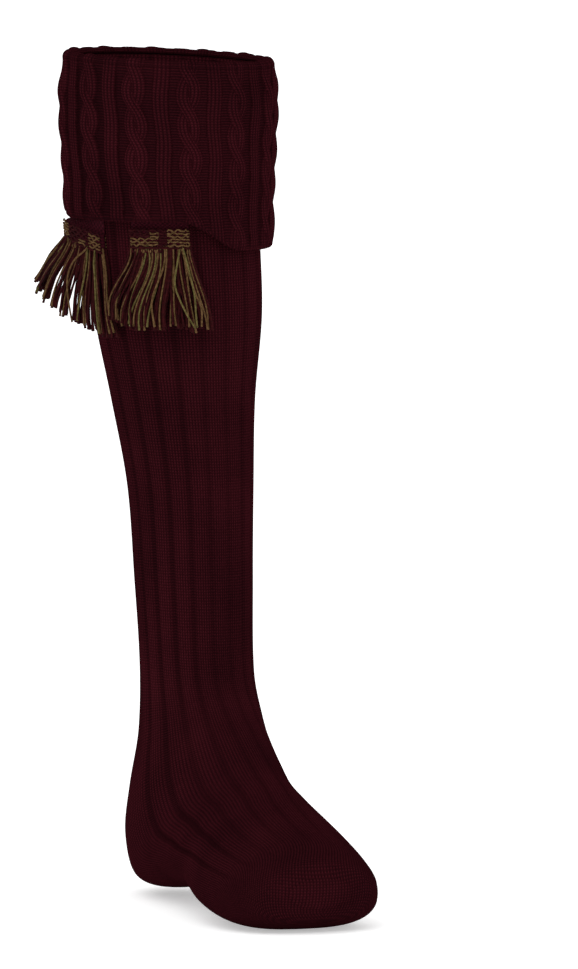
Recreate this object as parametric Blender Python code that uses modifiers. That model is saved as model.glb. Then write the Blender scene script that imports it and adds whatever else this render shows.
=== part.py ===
"""Right shooting sock in its worn form.

A ribbed knee-length leg runs into a foot with a plain heel, sole and toe. A cable-knit cuff is
turned down over the top of the leg, and a woven garter under it ends in two fringed tassels.
The toe points along -Y, the outer side of the leg is -X, and the origin is the middle of the mouth.
"""

import math
from collections import namedtuple

import bmesh
import bpy
from mathutils import Vector

# Leg and foot
LEG_LENGTH = 0.318
ANKLE_HEIGHT = 0.118
CALF_WIDTH = 0.084
CALF_DEPTH = 0.096
FOOT_LENGTH = 0.233
FOOT_WIDTH = 0.084
HEEL_REACH = 0.052
LEAN = 0.0120
KNIT_WALL = 0.0025
MOUTH_TILT_ANGLE = math.radians(3)

# Leg ribs: broad plain ribs, each closed by one narrow groove
RIB_COUNT = 18
RIB_GROOVE = 0.0013
RIB_START_ANGLE = math.radians(8)

# Turned-over cuff, which is longest from the shin round the inner side of the leg
CUFF_DEPTH = 0.0835
CUFF_DIP = 0.0155
DIP_START_ANGLE = math.radians(20)
DIP_RISE_ANGLE = math.radians(44)
DIP_REACH_ANGLE = math.radians(210)
DIP_FALL_ANGLE = math.radians(70)
CUFF_WALL = 0.0036
CUFF_FLARE = 0.0030
LOOSE_SIDE_ANGLE = math.radians(125)
CABLE_COUNT = 12
CABLE_START_ANGLE = math.radians(6)
CABLE_HEIGHT = 0.0022
CABLE_PITCH = 0.019
PANEL_RIB_HEIGHT = 0.0008

# Garter and tassels
BAND_WIDTH = 0.022
BAND_WALL = 0.0016
BAND_ABOVE_HEM = 0.016
TAIL_WIDTH = 0.031
HEADER_HEIGHT = 0.010
HEADER_WALL = 0.0038
HEADER_SHOULDER = 0.0006
FRINGE_LENGTH = 0.043
LOCK_WIDTH = 0.0044
LOCK_THICKNESS = 0.0030
LOCK_TIP_SHARE = 0.6

# Clearances between the pieces
GAP = 0.0003
FOLD_SEAT = 0.0007
FOLD_RADIUS = (GAP + CUFF_WALL + KNIT_WALL) / 2

# How finely the pieces are divided
POINTS_PER_RIB = 3
POINTS_PER_CABLE = 6
LEG_ROWS = 12
FOOT_ROWS = 15
CUFF_ROWS = 10
FOLD_STEPS = 4
BAND_POINTS = 48
HEADER_COLUMNS = 6
LOCK_SIDES = 6
LOCK_STEPS = 5

SOLE = -(LEG_LENGTH + ANKLE_HEIGHT)
Section = namedtuple("Section", "front_y front_z back_y back_z half_width narrow square shift")

# Leg sections from the mouth down: height over the ankle bend as a share of LEG_LENGTH, front and
# back as shares of CALF_DEPTH, width as a share of CALF_WIDTH, how much the shin side narrows, and
# how far in the middle stands as a share of LEAN.
LEG_TABLE = [
    # height, front, back, width, narrow, lean
    (1.00, -0.50, 0.56, 1.19, 0.03, 0.00),
    (0.88, -0.47, 0.56, 1.13, 0.04, 0.08),
    (0.73, -0.45, 0.56, 1.05, 0.05, 0.24),
    (0.58, -0.43, 0.55, 1.01, 0.06, 0.52),
    (0.44, -0.41, 0.50, 0.85, 0.06, 0.70),
    (0.30, -0.39, 0.43, 0.74, 0.05, 0.94),
    (0.15, -0.40, 0.39, 0.69, 0.04, 1.00),
    (0.00, -0.43, 0.35, 0.66, 0.04, 1.05),
]

# Foot sections from the ankle bend to the toe: places along the foot from the back of the heel as
# shares of FOOT_LENGTH, heights as shares of ANKLE_HEIGHT, width as a share of FOOT_WIDTH, how much the
# top narrows, how square the edges of the sole are, and the inward shift as a share of FOOT_WIDTH.
FOOT_TABLE = [
    # top place, top height, sole place, sole height, width, narrow, square, shift
    (0.460, 0.860, 0.055, 0.690, 0.69, 0.04, 0.00, 0.01),
    (0.542, 0.770, 0.008, 0.420, 0.74, 0.05, 0.03, 0.00),
    (0.608, 0.695, 0.000, 0.200, 0.79, 0.07, 0.08, 0.00),
    (0.665, 0.635, 0.085, 0.035, 0.81, 0.09, 0.12, 0.00),
    (0.722, 0.575, 0.290, 0.070, 0.83, 0.12, 0.06, 0.01),
    (0.776, 0.515, 0.480, 0.095, 0.91, 0.14, 0.08, 0.01),
    (0.830, 0.455, 0.660, 0.035, 1.00, 0.14, 0.16, 0.01),
    (0.885, 0.395, 0.800, 0.004, 0.98, 0.12, 0.22, 0.02),
    (0.932, 0.350, 0.890, 0.010, 0.88, 0.10, 0.20, 0.03),
    (0.968, 0.308, 0.948, 0.050, 0.70, 0.06, 0.12, 0.03),
    (0.990, 0.250, 0.975, 0.115, 0.40, 0.00, 0.04, 0.03),
]
TOE_TIP = (0.997, 0.180, 0.03)

# Tassel locks from the shin side of the header to its back: the root's place across the header as a
# share of TAIL_WIDTH, then how far the tip goes back, down and out from there as shares of FRINGE_LENGTH.
FRONT_LOCKS = [
    # root, back, drop, out
    (-0.45, -0.17, 0.98, 0.06),
    (-0.34, -0.10, 1.00, 0.10),
    (-0.22, -0.02, 0.97, 0.08),
    (-0.10, 0.05, 1.00, 0.11),
    (0.02, 0.12, 0.98, 0.08),
    (0.13, 0.18, 0.99, 0.11),
    (0.24, 0.23, 0.95, 0.08),
    (0.35, 0.28, 0.94, 0.10),
    (0.45, 0.32, 0.90, 0.06),
]
SIDE_LOCKS = [
    # root, back, drop, out
    (-0.45, -0.03, 1.00, 0.03),
    (-0.34, 0.00, 1.02, 0.06),
    (-0.22, 0.04, 0.99, 0.11),
    (-0.10, 0.07, 0.95, 0.15),
    (0.02, 0.10, 0.91, 0.20),
    (0.13, 0.14, 0.85, 0.25),
    (0.24, 0.18, 0.78, 0.31),
    (0.35, 0.22, 0.70, 0.36),
    (0.45, 0.26, 0.60, 0.40),
]

# Where each tassel hangs round the leg, how far its header leans, and as shares of HEADER_HEIGHT how
# far that lies under the hem and how far its back end lifts off the leg.
Tassel = namedtuple("Tassel", "name turn lean below_hem lift locks")
TASSELS = [
    Tassel("tassel_front", math.radians(32), 0.0, 0.45, 0.0, FRONT_LOCKS),
    Tassel("tassel_side", math.radians(93), 0.22, 0.50, 0.65, SIDE_LOCKS),
]


def sock_sections():
    """Every section from the mouth to the toe, in metres."""
    sections = []
    for height, front, back, width, narrow, lean in LEG_TABLE:
        level = SOLE + ANKLE_HEIGHT + height * LEG_LENGTH
        sections.append(
            Section(
                front * CALF_DEPTH,
                level,
                back * CALF_DEPTH,
                level,
                width * CALF_WIDTH / 2,
                narrow,
                0.0,
                lean * LEAN,
            )
        )
    for top, top_height, under, under_height, width, narrow, square, shift in FOOT_TABLE:
        sections.append(
            Section(
                HEEL_REACH - top * FOOT_LENGTH,
                SOLE + top_height * ANKLE_HEIGHT,
                HEEL_REACH - under * FOOT_LENGTH,
                SOLE + under_height * ANKLE_HEIGHT,
                width * FOOT_WIDTH / 2,
                narrow,
                square,
                LEAN + shift * FOOT_WIDTH,
            )
        )
    return sections


def stations_of(sections):
    """The distance of each section's middle from the mouth, measured down the leg and along the foot."""
    stations = [0.0]
    for upper, lower in zip(sections, sections[1:]):
        along = (lower.front_y + lower.back_y - upper.front_y - upper.back_y) / 2
        down = (lower.front_z + lower.back_z - upper.front_z - upper.back_z) / 2
        stations.append(stations[-1] + math.hypot(along, down))
    return stations


SECTIONS = sock_sections()
STATIONS = stations_of(SECTIONS)


def section_at(station):
    """The section at any distance from the mouth, on a smooth curve through the tables' rows."""
    last = len(STATIONS) - 2
    index = next((i for i in range(last) if station < STATIONS[i + 1]), last)
    start, end = STATIONS[index], STATIONS[index + 1]
    share = (station - start) / (end - start)

    def slope(at, column):
        before, after = max(at - 1, 0), min(at + 1, len(STATIONS) - 1)
        rise = SECTIONS[after][column] - SECTIONS[before][column]
        return rise / (STATIONS[after] - STATIONS[before]) * (end - start)

    values = []
    for column in range(len(Section._fields)):
        low, high = SECTIONS[index][column], SECTIONS[index + 1][column]
        low_slope, high_slope = slope(index, column), slope(index + 1, column)
        square, cube = share * share, share**3
        values.append(
            (2 * cube - 3 * square + 1) * low
            + (cube - 2 * square + share) * low_slope
            + (3 * square - 2 * cube) * high
            + (cube - square) * high_slope
        )
    return Section(*values)


def ease(value):
    """0 below 0, 1 above 1, and a smooth step between."""
    share = min(max(value, 0.0), 1.0)
    return share * share * (3 - 2 * share)


def skin(station, turn, out=0.0):
    """A point on the sock's outer face, or out from it. Turns run from the shin towards the outer side."""
    section = section_at(station)
    front = Vector((0, section.front_y, section.front_z))
    back = Vector((0, section.back_y, section.back_z))
    corner = 1.0
    if math.cos(turn) < 0:
        corner += section.square * 2 * (math.sin(turn) * math.cos(turn)) ** 2
    reach = ((front - back).length / 2 + out) * corner
    half_width = (section.half_width + out) * corner
    point = (front + back) / 2 + (front - back).normalized() * reach * math.cos(turn)
    point.x = section.shift - half_width * math.sin(turn) * (1 - section.narrow * math.cos(turn))
    point.z -= math.tan(MOUTH_TILT_ANGLE) * point.x * ease(1 - station / CUFF_DEPTH)
    return point


def rib_relief(station, turn, column):
    """The grooves run down the whole leg and over the instep, and fade out at the heel, sole and toe."""
    if column % POINTS_PER_RIB:
        return 0.0
    into_foot = ease((station - LEG_LENGTH) / (ANKLE_HEIGHT / 2))
    on_instep = ease((math.cos(turn) + 0.10) / 0.35)
    before_toe = ease((STATIONS[-1] - station) / (FOOT_LENGTH / 4) - 1)
    return -RIB_GROOVE * (1 - into_foot + into_foot * on_instep) * before_toe


def turns_of(count, start=0.0):
    return [start + 2 * math.pi * index / count for index in range(count)]


def lofted(bm, rings, closed=False):
    """Skins a row of rings of points with quads. A closed loft joins its last ring to its first."""
    loops = [[bm.verts.new(point) for point in ring] for ring in rings]
    pairs = list(zip(loops, loops[1:]))
    if closed:
        pairs.append((loops[-1], loops[0]))
    for upper, lower in pairs:
        for index in range(len(upper)):
            after = (index + 1) % len(upper)
            bm.faces.new((upper[index], lower[index], lower[after], upper[after]))
    return loops


def add_object(name, bm, collection, material, smooth_angle=40):
    bmesh.ops.recalc_face_normals(bm, faces=bm.faces[:])
    mesh = bpy.data.meshes.new(name)
    bm.to_mesh(mesh)
    bm.free()
    mesh.shade_smooth()
    mesh.set_sharp_from_angle(angle=math.radians(smooth_angle))
    obj = bpy.data.objects.new(name, mesh)
    obj.data.materials.append(material)
    collection.objects.link(obj)
    return obj


def linear(hex_colour):
    channels = [int(hex_colour[i : i + 2], 16) / 255 for i in (1, 3, 5)]
    return [c / 12.92 if c <= 0.04045 else ((c + 0.055) / 1.055) ** 2.4 for c in channels] + [1.0]


def wool(name, hex_colour, roughness):
    material = bpy.data.materials.new(name)
    material.use_nodes = True
    shader = material.node_tree.nodes["Principled BSDF"]
    shader.inputs["Base Color"].default_value = linear(hex_colour)
    shader.inputs["Roughness"].default_value = roughness
    shader.inputs["Metallic"].default_value = 0.0
    return material


def make_leg_and_foot(collection, material):
    """One open knitted tube from under the fold to the toe, given its wall inwards."""
    leg_top = FOLD_RADIUS + FOLD_SEAT
    leg_stations = [leg_top + (LEG_LENGTH - leg_top) * row / LEG_ROWS for row in range(LEG_ROWS)]
    along_foot = STATIONS[-1] - LEG_LENGTH
    foot_stations = [LEG_LENGTH + along_foot * row / FOOT_ROWS for row in range(FOOT_ROWS + 1)]
    turns = turns_of(RIB_COUNT * POINTS_PER_RIB, RIB_START_ANGLE)
    rings = []
    for station in leg_stations + foot_stations:
        rings.append(
            [skin(station, turn, rib_relief(station, turn, column)) for column, turn in enumerate(turns)]
        )
    bm = bmesh.new()
    loops = lofted(bm, rings)
    place, height, shift = TOE_TIP
    tip = bm.verts.new(
        (LEAN + shift * FOOT_WIDTH, HEEL_REACH - place * FOOT_LENGTH, SOLE + height * ANKLE_HEIGHT)
    )
    for index, vertex in enumerate(loops[-1]):
        bm.faces.new((vertex, tip, loops[-1][(index + 1) % len(loops[-1])]))
    sock = add_object("leg_and_foot", bm, collection, material)
    wall = sock.modifiers.new("knitted_wall", "SOLIDIFY")
    wall.thickness = KNIT_WALL
    wall.offset = -1
    return sock


def hem_station(turn):
    """The cuff's lower edge, which dips from the shin round the inner side of the leg."""
    inward = (DIP_START_ANGLE - turn) % (2 * math.pi)
    dip = min(ease(inward / DIP_RISE_ANGLE), ease((DIP_REACH_ANGLE - inward) / DIP_FALL_ANGLE))
    return CUFF_DEPTH + CUFF_DIP * dip


def cuff_stand_off(share, turn):
    """The clear space between leg and cuff, from the fold at 0 to the hem at 1, with room for the garter."""
    garter_room = BAND_WALL + 2 * GAP
    loose_side = 0.5 - 0.5 * math.cos(turn - LOOSE_SIDE_ANGLE - math.pi)
    return GAP + garter_room * ease(share / 0.25) + CUFF_FLARE * share * loose_side


def cable_relief(station, column):
    """Across each repeat the cable's side, crown and side come first, then a panel with one raised rib."""
    swell = 0.72 + 0.28 * math.cos(2 * math.pi * station / CABLE_PITCH)
    side, crown = 0.55 * CABLE_HEIGHT * swell, CABLE_HEIGHT * swell
    return (side, crown, side, 0.0, PANEL_RIB_HEIGHT, 0.0)[column % POINTS_PER_CABLE]


def make_cuff(collection, material):
    """The turned-down layer: a closed loft up its outer face, over the fold and down its inner face."""
    turns = turns_of(CABLE_COUNT * POINTS_PER_CABLE, CABLE_START_ANGLE)
    rings = []
    for row in range(CUFF_ROWS, 0, -1):
        share = row / CUFF_ROWS
        ring = []
        for column, turn in enumerate(turns):
            station = FOLD_RADIUS + (hem_station(turn) - FOLD_RADIUS) * share
            relief = cable_relief(station, column) * ease(4 * share)
            ring.append(skin(station, turn, cuff_stand_off(share, turn) + CUFF_WALL + relief))
        rings.append(ring)
    for step in range(FOLD_STEPS + 1):
        swing = math.pi * step / FOLD_STEPS
        out = GAP + CUFF_WALL - FOLD_RADIUS * (1 - math.cos(swing))
        rings.append([skin(FOLD_RADIUS * (1 - math.sin(swing)), turn, out) for turn in turns])
    for share in (0.0, 0.25, 0.6, 1.0):
        ring = []
        for turn in turns:
            station = FOLD_RADIUS + (hem_station(turn) - FOLD_RADIUS) * share
            ring.append(skin(station, turn, cuff_stand_off(share, turn)))
        rings.append(ring)
    bm = bmesh.new()
    lofted(bm, rings, closed=True)
    return add_object("turnover_cuff", bm, collection, material)


def make_band(collection, material):
    """The garter's hidden loop round the leg."""
    bm = bmesh.new()
    rings = []
    turns = turns_of(BAND_POINTS)
    for share, out in ((0, GAP), (0, GAP + BAND_WALL), (1, GAP + BAND_WALL), (1, GAP)):
        station = CUFF_DEPTH - BAND_ABOVE_HEM - BAND_WIDTH * (1 - share)
        rings.append([skin(station, turn, out) for turn in turns])
    lofted(bm, rings, closed=True)
    return add_object("garter_band", bm, collection, material)


def on_tassel(tassel, back, down, out, lean):
    """A point of a tassel: back round the leg from its middle, down from its header's top, and out."""
    top = hem_station(tassel.turn) + tassel.below_hem * HEADER_HEIGHT
    section = section_at(top)
    girth = (section.half_width + (section.back_y - section.front_y) / 2) / 2
    lifted = tassel.lift * HEADER_HEIGHT * lean * ease(0.5 + back / TAIL_WIDTH)
    angle = tassel.lean * lean
    turn = tassel.turn + back * math.cos(angle) / girth
    return skin(top + down - back * math.sin(angle), turn, GAP + out + lifted)


def make_head(tassel):
    """The garter's flat tail, from under the band down to the thicker woven header that ends it."""
    hem = -tassel.below_hem * HEADER_HEIGHT
    rows = [
        # down, wall, how much of the lean and of the lift it takes
        (hem - BAND_ABOVE_HEM + GAP, BAND_WALL, 0.0),
        (hem - GAP, BAND_WALL, 0.0),
        (0.0, BAND_WALL, 0.9),
        (HEADER_SHOULDER, HEADER_WALL, 1.0),
        (HEADER_HEIGHT, HEADER_WALL, 1.0),
    ]
    columns = [TAIL_WIDTH * (index / HEADER_COLUMNS - 0.5) for index in range(HEADER_COLUMNS + 1)]
    rings = []
    for down, wall, lean in rows:
        front = [on_tassel(tassel, back, down, wall, lean) for back in columns]
        rear = [on_tassel(tassel, back, down, 0.0, lean) for back in reversed(columns)]
        rings.append(front + rear)
    return rings


def make_lock(tassel, lock):
    """One lock of the fringe, rooted inside the header and thinner at its tip."""
    root, back, drop, out = lock
    root_back = root * TAIL_WIDTH
    start = HEADER_HEIGHT / 2
    length = HEADER_HEIGHT - start + drop * FRINGE_LENGTH
    rings = []
    for step in range(LOCK_STEPS + 1):
        share = step / LOCK_STEPS
        size = 1 - (1 - LOCK_TIP_SHARE) * share
        ring = []
        for turn in turns_of(LOCK_SIDES):
            side = root_back + back * FRINGE_LENGTH * share**1.5 + size * LOCK_WIDTH / 2 * math.cos(turn)
            raised = size * LOCK_THICKNESS / 2 * math.sin(turn)
            stand = HEADER_WALL / 2 + raised + out * FRINGE_LENGTH * share
            ring.append(on_tassel(tassel, side, start + length * share, stand, 1.0))
        rings.append(ring)
    return rings


def capped(bm, rings):
    loops = lofted(bm, rings)
    bm.faces.new(reversed(loops[0]))
    bm.faces.new(loops[-1])


def make_tassel(tassel, collection, cutters, material):
    """Header and locks fused into one piece by a union."""
    bm = bmesh.new()
    for lock in tassel.locks:
        capped(bm, make_lock(tassel, lock))
    locks = add_object(tassel.name + "_locks", bm, cutters, material)
    locks.hide_render = True
    locks.display_type = "WIRE"
    bm = bmesh.new()
    capped(bm, make_head(tassel))
    head = add_object(tassel.name, bm, collection, material)
    fused = head.modifiers.new("fused_locks", "BOOLEAN")
    fused.operation = "UNION"
    fused.object = locks
    fused.use_self = True
    return head


def main():
    for obj in list(bpy.data.objects):
        bpy.data.objects.remove(obj)
    collection = bpy.data.collections.new("shooting_sock")
    cutters = bpy.data.collections.new("cutters")
    for group in (collection, cutters):
        bpy.context.scene.collection.children.link(group)
    make_leg_and_foot(collection, wool("burgundy_rib_knit", "#3a0f18", 0.9))
    make_cuff(collection, wool("burgundy_cable_knit", "#3d1019", 0.9))
    make_band(collection, wool("burgundy_garter", "#380d15", 0.85))
    fringe = wool("burgundy_and_olive_fringe", "#4a3a20", 0.85)
    for tassel in TASSELS:
        make_tassel(tassel, collection, cutters, fringe)


main()
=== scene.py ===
import math
from collections import namedtuple

import bmesh
import bpy
import numpy as np
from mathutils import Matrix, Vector


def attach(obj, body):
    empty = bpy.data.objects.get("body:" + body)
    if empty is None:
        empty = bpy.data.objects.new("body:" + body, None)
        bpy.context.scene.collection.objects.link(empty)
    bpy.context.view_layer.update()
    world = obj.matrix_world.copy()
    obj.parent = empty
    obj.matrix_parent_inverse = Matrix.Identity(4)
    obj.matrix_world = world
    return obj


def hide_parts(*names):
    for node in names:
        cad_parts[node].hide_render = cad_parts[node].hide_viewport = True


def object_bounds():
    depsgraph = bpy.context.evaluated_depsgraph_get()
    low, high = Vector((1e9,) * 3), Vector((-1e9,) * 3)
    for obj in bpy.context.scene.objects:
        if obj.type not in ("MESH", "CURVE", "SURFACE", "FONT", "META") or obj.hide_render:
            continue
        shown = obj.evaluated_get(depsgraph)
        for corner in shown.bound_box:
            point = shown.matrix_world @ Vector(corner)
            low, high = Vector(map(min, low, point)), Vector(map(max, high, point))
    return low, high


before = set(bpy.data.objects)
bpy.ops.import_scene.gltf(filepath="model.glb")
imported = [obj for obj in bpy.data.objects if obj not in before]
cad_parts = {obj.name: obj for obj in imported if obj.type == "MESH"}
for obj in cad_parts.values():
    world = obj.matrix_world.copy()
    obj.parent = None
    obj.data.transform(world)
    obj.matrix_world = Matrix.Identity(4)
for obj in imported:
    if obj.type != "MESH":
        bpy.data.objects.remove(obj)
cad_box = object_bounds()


# Leg and foot
# One tube of fine merino-blend knitting: broad plain ribs closed by narrow purl grooves run down the leg
# and over the instep, and the heel, sole and toe are plain. It stands in the form that it takes on a leg,
# and its top edge is hidden under the cuff's fold.
LEG_LENGTH = 0.318
ANKLE_HEIGHT = 0.118
CALF_WIDTH = 0.084
CALF_DEPTH = 0.096
FOOT_LENGTH = 0.233
FOOT_WIDTH = 0.084
HEEL_REACH = 0.052
LEAN = 0.0120
KNIT_WALL = 0.0025
MOUTH_TILT = math.radians(2)
MOUTH_DIP = 0.0035
SOLE = -(LEG_LENGTH + ANKLE_HEIGHT)

RIB_COUNT = 18
RIB_START = math.radians(8)
RIB_GROOVE = 0.0014
RIB_GROOVE_WIDTH = 0.0015
RIB_CROWN = 0.0004
STITCHES_PER_RIB = 8
COURSE = 0.00145

GAP = 0.0003
FOLD_SEAT = 0.0003
CUFF_DEPTH = 0.0835
CUFF_WALL = 0.0036
FOLD_RADIUS = (GAP + CUFF_WALL + KNIT_WALL) / 2

LEG_TABLE = [
    # height, front, back, width, narrow, lean
    (1.00, -0.50, 0.56, 1.19, 0.03, 0.00),
    (0.88, -0.47, 0.56, 1.13, 0.04, 0.08),
    (0.73, -0.45, 0.56, 1.05, 0.05, 0.24),
    (0.58, -0.43, 0.55, 1.01, 0.06, 0.52),
    (0.44, -0.41, 0.50, 0.85, 0.06, 0.70),
    (0.30, -0.39, 0.43, 0.74, 0.05, 0.94),
    (0.15, -0.40, 0.39, 0.69, 0.04, 1.00),
    (0.00, -0.43, 0.35, 0.66, 0.04, 1.05),
]
FOOT_TABLE = [
    # top place, top height, sole place, sole height, width, narrow, square, shift
    (0.460, 0.860, 0.055, 0.690, 0.69, 0.04, 0.00, 0.01),
    (0.542, 0.770, 0.008, 0.420, 0.74, 0.05, 0.03, 0.00),
    (0.608, 0.695, 0.000, 0.200, 0.79, 0.07, 0.08, 0.00),
    (0.665, 0.635, 0.085, 0.035, 0.81, 0.09, 0.12, 0.00),
    (0.722, 0.575, 0.290, 0.070, 0.83, 0.12, 0.06, 0.01),
    (0.776, 0.515, 0.480, 0.095, 0.91, 0.14, 0.08, 0.01),
    (0.830, 0.455, 0.660, 0.035, 1.00, 0.14, 0.16, 0.01),
    (0.885, 0.395, 0.800, 0.004, 0.98, 0.12, 0.22, 0.02),
    (0.932, 0.350, 0.890, 0.010, 0.88, 0.10, 0.20, 0.03),
    (0.968, 0.308, 0.948, 0.050, 0.70, 0.06, 0.12, 0.03),
    (0.990, 0.250, 0.975, 0.115, 0.40, 0.00, 0.04, 0.03),
]
TOE_TIP = (0.997, 0.180, 0.03)


def sock_sections():
    """A row for each section: front y and z, back y and z, half width, narrow, square and shift."""
    rows = []
    for height, front, back, width, narrow, lean in LEG_TABLE:
        level = SOLE + ANKLE_HEIGHT + height * LEG_LENGTH
        rows.append(
            (front * CALF_DEPTH, level, back * CALF_DEPTH, level, width * CALF_WIDTH / 2, narrow, 0, lean * LEAN)
        )
    for top, top_height, under, under_height, width, narrow, square, shift in FOOT_TABLE:
        rows.append(
            (
                HEEL_REACH - top * FOOT_LENGTH,
                SOLE + top_height * ANKLE_HEIGHT,
                HEEL_REACH - under * FOOT_LENGTH,
                SOLE + under_height * ANKLE_HEIGHT,
                width * FOOT_WIDTH / 2,
                narrow,
                square,
                LEAN + shift * FOOT_WIDTH,
            )
        )
    return np.array(rows)


SECTIONS = sock_sections()
MIDDLES = (SECTIONS[:, 0:2] + SECTIONS[:, 2:4]) / 2
STATIONS = np.concatenate([[0], np.cumsum(np.linalg.norm(np.diff(MIDDLES, axis=0), axis=1))])
BEFORE = np.maximum(np.arange(len(STATIONS)) - 1, 0)
AFTER = np.minimum(np.arange(len(STATIONS)) + 1, len(STATIONS) - 1)
SLOPES = (SECTIONS[AFTER] - SECTIONS[BEFORE]) / (STATIONS[AFTER] - STATIONS[BEFORE])[:, None]


def section_at(station):
    """The sections at any distances from the mouth, on a smooth curve through the tables' rows."""
    index = np.clip(np.searchsorted(STATIONS, station, side="right") - 1, 0, len(STATIONS) - 2)
    step = (STATIONS[index + 1] - STATIONS[index])[..., None]
    share = (station - STATIONS[index])[..., None] / step
    square, cube = share**2, share**3
    return (
        (2 * cube - 3 * square + 1) * SECTIONS[index]
        + (cube - 2 * square + share) * step * SLOPES[index]
        + (3 * square - 2 * cube) * SECTIONS[index + 1]
        + (cube - square) * step * SLOPES[index + 1]
    )


def ease(value):
    """0 below 0, 1 above 1, and a smooth step between."""
    share = np.clip(value, 0.0, 1.0)
    return share * share * (3 - 2 * share)


def skin(station, turn, out=0.0):
    """Points on the sock's outer face, or out from it. Turns run from the shin towards the outer side."""
    station, turn, out = np.broadcast_arrays(np.asarray(station, float), turn, out)
    front_y, front_z, back_y, back_z, half_width, narrow, square, shift = np.moveaxis(section_at(station), -1, 0)
    corner = 1 + np.where(np.cos(turn) < 0, square * 2 * (np.sin(turn) * np.cos(turn)) ** 2, 0)
    length = np.hypot(front_y - back_y, front_z - back_z)
    reach = (length / 2 + out) * corner * np.cos(turn)
    x = shift - (half_width + out) * corner * np.sin(turn) * (1 - narrow * np.cos(turn))
    y = (front_y + back_y) / 2 + (front_y - back_y) / length * reach
    z = (front_z + back_z) / 2 + (front_z - back_z) / length * reach
    sag = math.tan(MOUTH_TILT) * x + MOUTH_DIP * (0.5 + 0.5 * np.cos(turn))
    z = z - sag * ease(1 - station / CUFF_DEPTH)
    return np.stack([x, y, z], axis=-1)


WALE_SWEEP = math.radians(20)
WALE_SWEEP_START = 0.456
HEEL_BEND = math.radians(3)
HEEL_BEND_STATION = 0.452
HEEL_BEND_LENGTH = 0.034
TOE_BLEND = 0.036


def ribs_across(station, turn):
    """How many ribs each point lies from the shin. The ribs follow the leg, bend round the heel and
    sweep inwards along the foot."""
    sweep = np.clip((station - WALE_SWEEP_START) / (STATIONS[-1] - WALE_SWEEP_START), 0, 1) ** 1.3
    sideways = np.clip(np.abs(turn) / math.radians(68), 0, 1.4) ** 3 * np.sign(turn)
    bend = sideways * np.exp(-(((station - HEEL_BEND_STATION) / HEEL_BEND_LENGTH) ** 2))
    return (turn - HEEL_BEND * bend + WALE_SWEEP * sweep) / (2 * math.pi) * RIB_COUNT


def rib_relief(station, turn, ribs):
    """Flat ribs with rounded edges and one soft groove between each two, stretched flatter over the shin.
    The ribs that reach the instep go on over it. Gives the relief and how far a point is in a groove."""
    place = (ribs - RIB_START / (2 * math.pi) * RIB_COUNT) % 1
    girth = 2 * math.pi * np.hypot(*np.moveaxis(section_at(station)[..., [4, 4]], -1, 0)) / math.sqrt(2)
    from_groove = np.minimum(place, 1 - place) * girth / RIB_COUNT
    groove = np.exp(-((from_groove / RIB_GROOVE_WIDTH) ** 2))
    crown = np.sin(math.pi * place) ** 0.7
    over_shin = 1 - 0.62 * np.exp(-(((turn + math.radians(8)) / math.radians(34)) ** 2))
    into_foot = ease((station - LEG_LENGTH) / (ANKLE_HEIGHT / 3))
    beside = ease((np.abs(ribs) - 2.4) / 1.2)
    on_instep = ease((4.95 - np.abs(ribs)) / 0.4) * (0.5 + 0.5 * beside)
    before_toe = ease((STATIONS[-1] - station) / (FOOT_LENGTH / 4) - 0.15)
    strength = (over_shin * (1 - into_foot) + into_foot * on_instep) * before_toe
    return strength * (RIB_CROWN * crown - RIB_GROOVE * groove), strength * groove


def new_mesh_object(name, bm, materials):
    mesh = bpy.data.meshes.new(name)
    bm.to_mesh(mesh)
    bm.free()
    mesh.shade_smooth()
    piece = bpy.data.objects.new(name, mesh)
    for material in materials:
        mesh.materials.append(material)
    bpy.context.scene.collection.objects.link(piece)
    return piece


def rolled_grid(columns, rows, lay):
    """A grid rolled round the leg. lay takes the shares round and along, and gives each vertex its point,
    its place in the stitches, its relief and how far it lies among purl stitches."""
    bm = bmesh.new()
    stitches = bm.loops.layers.uv.new("stitches")
    relief = bm.verts.layers.float.new("relief")
    purl = bm.verts.layers.float.new("purl")
    bmesh.ops.create_grid(bm, x_segments=columns, y_segments=rows, size=0.5)
    shares = np.array([vertex.co[:2] for vertex in bm.verts]) + 0.5
    points, uvs, heights, purls = lay(shares[:, 0], shares[:, 1])
    for index, vertex in enumerate(bm.verts):
        vertex.co = points[index]
        vertex[relief] = heights[index]
        vertex[purl] = purls[index]
        for loop in vertex.link_loops:
            loop[stitches].uv = uvs[index]
    bmesh.ops.remove_doubles(bm, verts=bm.verts[:], dist=1e-6)
    bmesh.ops.recalc_face_normals(bm, faces=bm.faces[:])
    return bm


LEG_COLUMNS = 252
LEG_ROWS = 320
TOE_ROWS = 20
INNER_ROWS = 34
LEG_TOP = FOLD_RADIUS + FOLD_SEAT
TOE_WALE = 0.0017
TOE_SEAM_HEIGHT = 0.0075
TOE_SEAM_WIDTH = 0.0010
TOE_SEAM_RELIEF = 0.0008


def toe_cap(points, swing):
    """Closes the toe over its tip, from the last section at swing 0 to the tip at a quarter turn."""
    place, height, shift = TOE_TIP
    tip = np.array(
        (LEAN + shift * FOOT_WIDTH, HEEL_REACH - place * FOOT_LENGTH, SOLE + height * ANKLE_HEIGHT)
    )
    middle = np.array((SECTIONS[-1][7], *MIDDLES[-1]))
    shrink = np.cos(swing)[:, None]
    return middle + (points - middle) * shrink + (tip - middle) * np.sin(swing)[:, None]


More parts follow.
